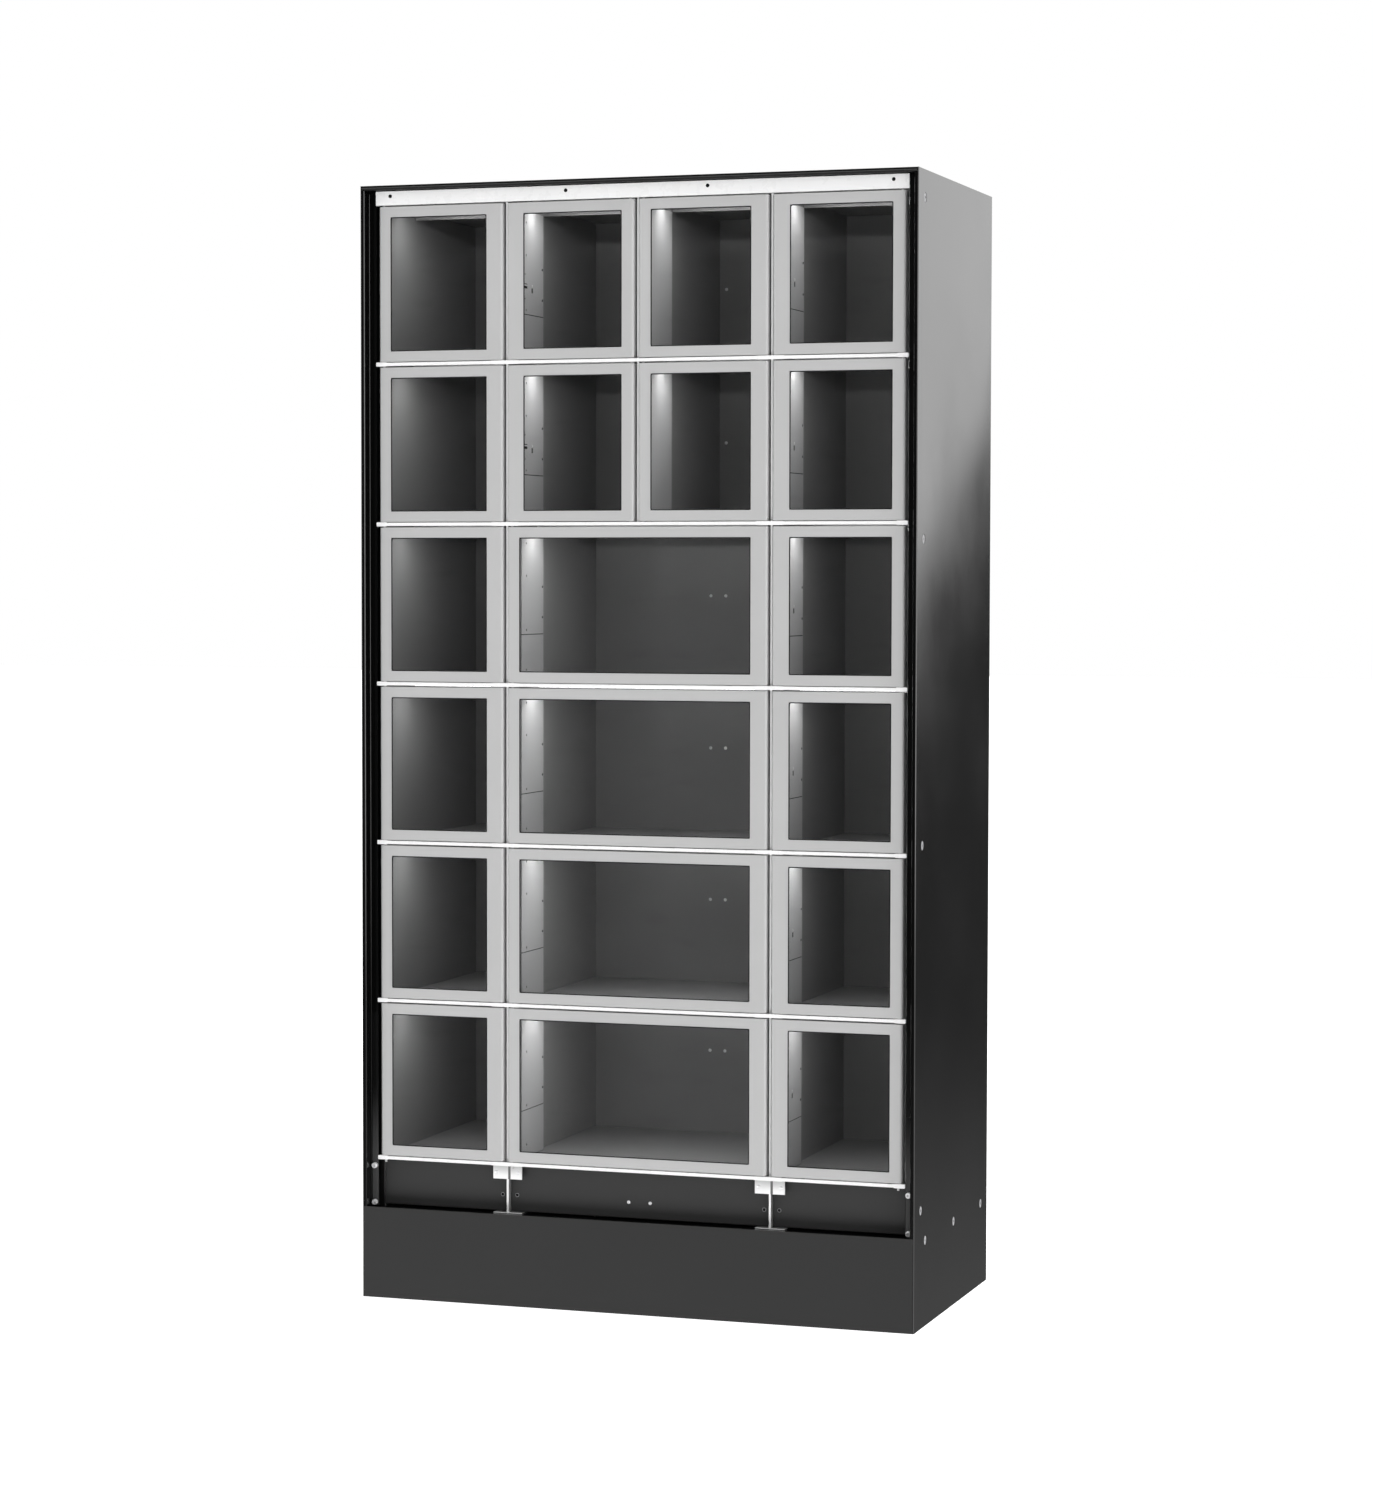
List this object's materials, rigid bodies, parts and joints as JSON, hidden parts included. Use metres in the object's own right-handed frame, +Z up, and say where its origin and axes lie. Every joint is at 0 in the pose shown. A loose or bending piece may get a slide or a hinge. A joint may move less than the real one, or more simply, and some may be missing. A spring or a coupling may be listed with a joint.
{
  "type": "glazed-door locker",
  "caption": "Tall steel locker with small compartments behind inset glazed doors, each on its own upright hinge pins, on a plain kick plate.",
  "frame": {"origin": "centre of the footprint on the floor", "axes": "+X to the right seen from the front, the doors face -Y, +Z up"},
  "size_m": [1, 0.51, 1.94],
  "materials": {
    "black_steel": "gloss black powder coat",
    "dark_steel": "satin dark grey powder coat",
    "white_steel": "satin white powder coat",
    "grey_liner": "satin grey powder coat",
    "grey_door": "satin light grey powder coat",
    "clear_pane": "clear"
  },
  "bodies": {
    "cabinet": {"side_panel_left": "black_steel", "side_panel_right": "black_steel", "side_liner_left": "grey_liner", "side_liner_right": "grey_liner", "top_panel": "black_steel", "kick_plate": "dark_steel", "base_tray": "black_steel", "rear_cover": "black_steel", "rear_wall": "grey_liner", "filler_panel": "dark_steel", "partition_left": "grey_liner", "partition_right": "grey_liner", "partition_middle": "grey_liner", "ceiling_panel": "white_steel", "shelf_row1": "white_steel", "shelf_row2": "white_steel", "shelf_row3": "white_steel", "shelf_row4": "white_steel", "shelf_row5": "white_steel", "shelf_row6": "white_steel"},
    "door_row1_left": {"door_frame_row1_left": "grey_door", "door_window_row1_left": "clear_pane"},
    "door_row1_centre_left": {"door_frame_row1_centre_left": "grey_door", "door_window_row1_centre_left": "clear_pane"},
    "door_row1_centre_right": {"door_frame_row1_centre_right": "grey_door", "door_window_row1_centre_right": "clear_pane"},
    "door_row1_right": {"door_frame_row1_right": "grey_door", "door_window_row1_right": "clear_pane"},
    "door_row2_left": {"door_frame_row2_left": "grey_door", "door_window_row2_left": "clear_pane"},
    "door_row2_centre_left": {"door_frame_row2_centre_left": "grey_door", "door_window_row2_centre_left": "clear_pane"},
    "door_row2_centre_right": {"door_frame_row2_centre_right": "grey_door", "door_window_row2_centre_right": "clear_pane"},
    "door_row2_right": {"door_frame_row2_right": "grey_door", "door_window_row2_right": "clear_pane"},
    "door_row3_left": {"door_frame_row3_left": "grey_door", "door_window_row3_left": "clear_pane"},
    "door_row3_wide": {"door_frame_row3_wide": "grey_door", "door_window_row3_wide": "clear_pane"},
    "door_row3_right": {"door_frame_row3_right": "grey_door", "door_window_row3_right": "clear_pane"},
    "door_row4_left": {"door_frame_row4_left": "grey_door", "door_window_row4_left": "clear_pane"},
    "door_row4_wide": {"door_frame_row4_wide": "grey_door", "door_window_row4_wide": "clear_pane"},
    "door_row4_right": {"door_frame_row4_right": "grey_door", "door_window_row4_right": "clear_pane"},
    "door_row5_left": {"door_frame_row5_left": "grey_door", "door_window_row5_left": "clear_pane"},
    "door_row5_wide": {"door_frame_row5_wide": "grey_door", "door_window_row5_wide": "clear_pane"},
    "door_row5_right": {"door_frame_row5_right": "grey_door", "door_window_row5_right": "clear_pane"},
    "door_row6_left": {"door_frame_row6_left": "grey_door", "door_window_row6_left": "clear_pane"},
    "door_row6_wide": {"door_frame_row6_wide": "grey_door", "door_window_row6_wide": "clear_pane"},
    "door_row6_right": {"door_frame_row6_right": "grey_door", "door_window_row6_right": "clear_pane"}
  },
  "joints": [
    {"name": "door_row1_left_hinge", "type": "hinge", "parent": "cabinet", "child": "door_row1_left", "pos_m": [-0.46595, -0.2295, 1.77085], "axis": [0, 0, -1], "range_deg": [0, 90]},
    {"name": "door_row1_centre_left_hinge", "type": "hinge", "parent": "cabinet", "child": "door_row1_centre_left", "pos_m": [-0.01165, -0.2295, 1.77085], "axis": [0, 0, 1], "range_deg": [0, 90]},
    {"name": "door_row1_centre_right_hinge", "type": "hinge", "parent": "cabinet", "child": "door_row1_centre_right", "pos_m": [0.01165, -0.2295, 1.77085], "axis": [0, 0, -1], "range_deg": [0, 90]},
    {"name": "door_row1_right_hinge", "type": "hinge", "parent": "cabinet", "child": "door_row1_right", "pos_m": [0.46595, -0.2295, 1.77085], "axis": [0, 0, 1], "range_deg": [0, 90]},
    {"name": "door_row2_left_hinge", "type": "hinge", "parent": "cabinet", "child": "door_row2_left", "pos_m": [-0.46595, -0.2295, 1.49325], "axis": [0, 0, -1], "range_deg": [0, 90]},
    {"name": "door_row2_centre_left_hinge", "type": "hinge", "parent": "cabinet", "child": "door_row2_centre_left", "pos_m": [-0.01165, -0.2295, 1.49325], "axis": [0, 0, 1], "range_deg": [0, 90]},
    {"name": "door_row2_centre_right_hinge", "type": "hinge", "parent": "cabinet", "child": "door_row2_centre_right", "pos_m": [0.01165, -0.2295, 1.49325], "axis": [0, 0, -1], "range_deg": [0, 90]},
    {"name": "door_row2_right_hinge", "type": "hinge", "parent": "cabinet", "child": "door_row2_right", "pos_m": [0.46595, -0.2295, 1.49325], "axis": [0, 0, 1], "range_deg": [0, 90]},
    {"name": "door_row3_left_hinge", "type": "hinge", "parent": "cabinet", "child": "door_row3_left", "pos_m": [-0.46595, -0.2295, 1.21565], "axis": [0, 0, -1], "range_deg": [0, 90]},
    {"name": "door_row3_wide_hinge", "type": "hinge", "parent": "cabinet", "child": "door_row3_wide", "pos_m": [-0.22715, -0.2295, 1.21565], "axis": [0, 0, -1], "range_deg": [0, 90]},
    {"name": "door_row3_right_hinge", "type": "hinge", "parent": "cabinet", "child": "door_row3_right", "pos_m": [0.46595, -0.2295, 1.21565], "axis": [0, 0, 1], "range_deg": [0, 90]},
    {"name": "door_row4_left_hinge", "type": "hinge", "parent": "cabinet", "child": "door_row4_left", "pos_m": [-0.46595, -0.2295, 0.93805], "axis": [0, 0, -1], "range_deg": [0, 90]},
    {"name": "door_row4_wide_hinge", "type": "hinge", "parent": "cabinet", "child": "door_row4_wide", "pos_m": [-0.22715, -0.2295, 0.93805], "axis": [0, 0, -1], "range_deg": [0, 90]},
    {"name": "door_row4_right_hinge", "type": "hinge", "parent": "cabinet", "child": "door_row4_right", "pos_m": [0.46595, -0.2295, 0.93805], "axis": [0, 0, 1], "range_deg": [0, 90]},
    {"name": "door_row5_left_hinge", "type": "hinge", "parent": "cabinet", "child": "door_row5_left", "pos_m": [-0.46595, -0.2295, 0.66045], "axis": [0, 0, -1], "range_deg": [0, 90]},
    {"name": "door_row5_wide_hinge", "type": "hinge", "parent": "cabinet", "child": "door_row5_wide", "pos_m": [-0.22715, -0.2295, 0.66045], "axis": [0, 0, -1], "range_deg": [0, 90]},
    {"name": "door_row5_right_hinge", "type": "hinge", "parent": "cabinet", "child": "door_row5_right", "pos_m": [0.46595, -0.2295, 0.66045], "axis": [0, 0, 1], "range_deg": [0, 90]},
    {"name": "door_row6_left_hinge", "type": "hinge", "parent": "cabinet", "child": "door_row6_left", "pos_m": [-0.46595, -0.2295, 0.38285], "axis": [0, 0, -1], "range_deg": [0, 90]},
    {"name": "door_row6_wide_hinge", "type": "hinge", "parent": "cabinet", "child": "door_row6_wide", "pos_m": [-0.22715, -0.2295, 0.38285], "axis": [0, 0, -1], "range_deg": [0, 90]},
    {"name": "door_row6_right_hinge", "type": "hinge", "parent": "cabinet", "child": "door_row6_right", "pos_m": [0.46595, -0.2295, 0.38285], "axis": [0, 0, 1], "range_deg": [0, 90]}
  ]
}
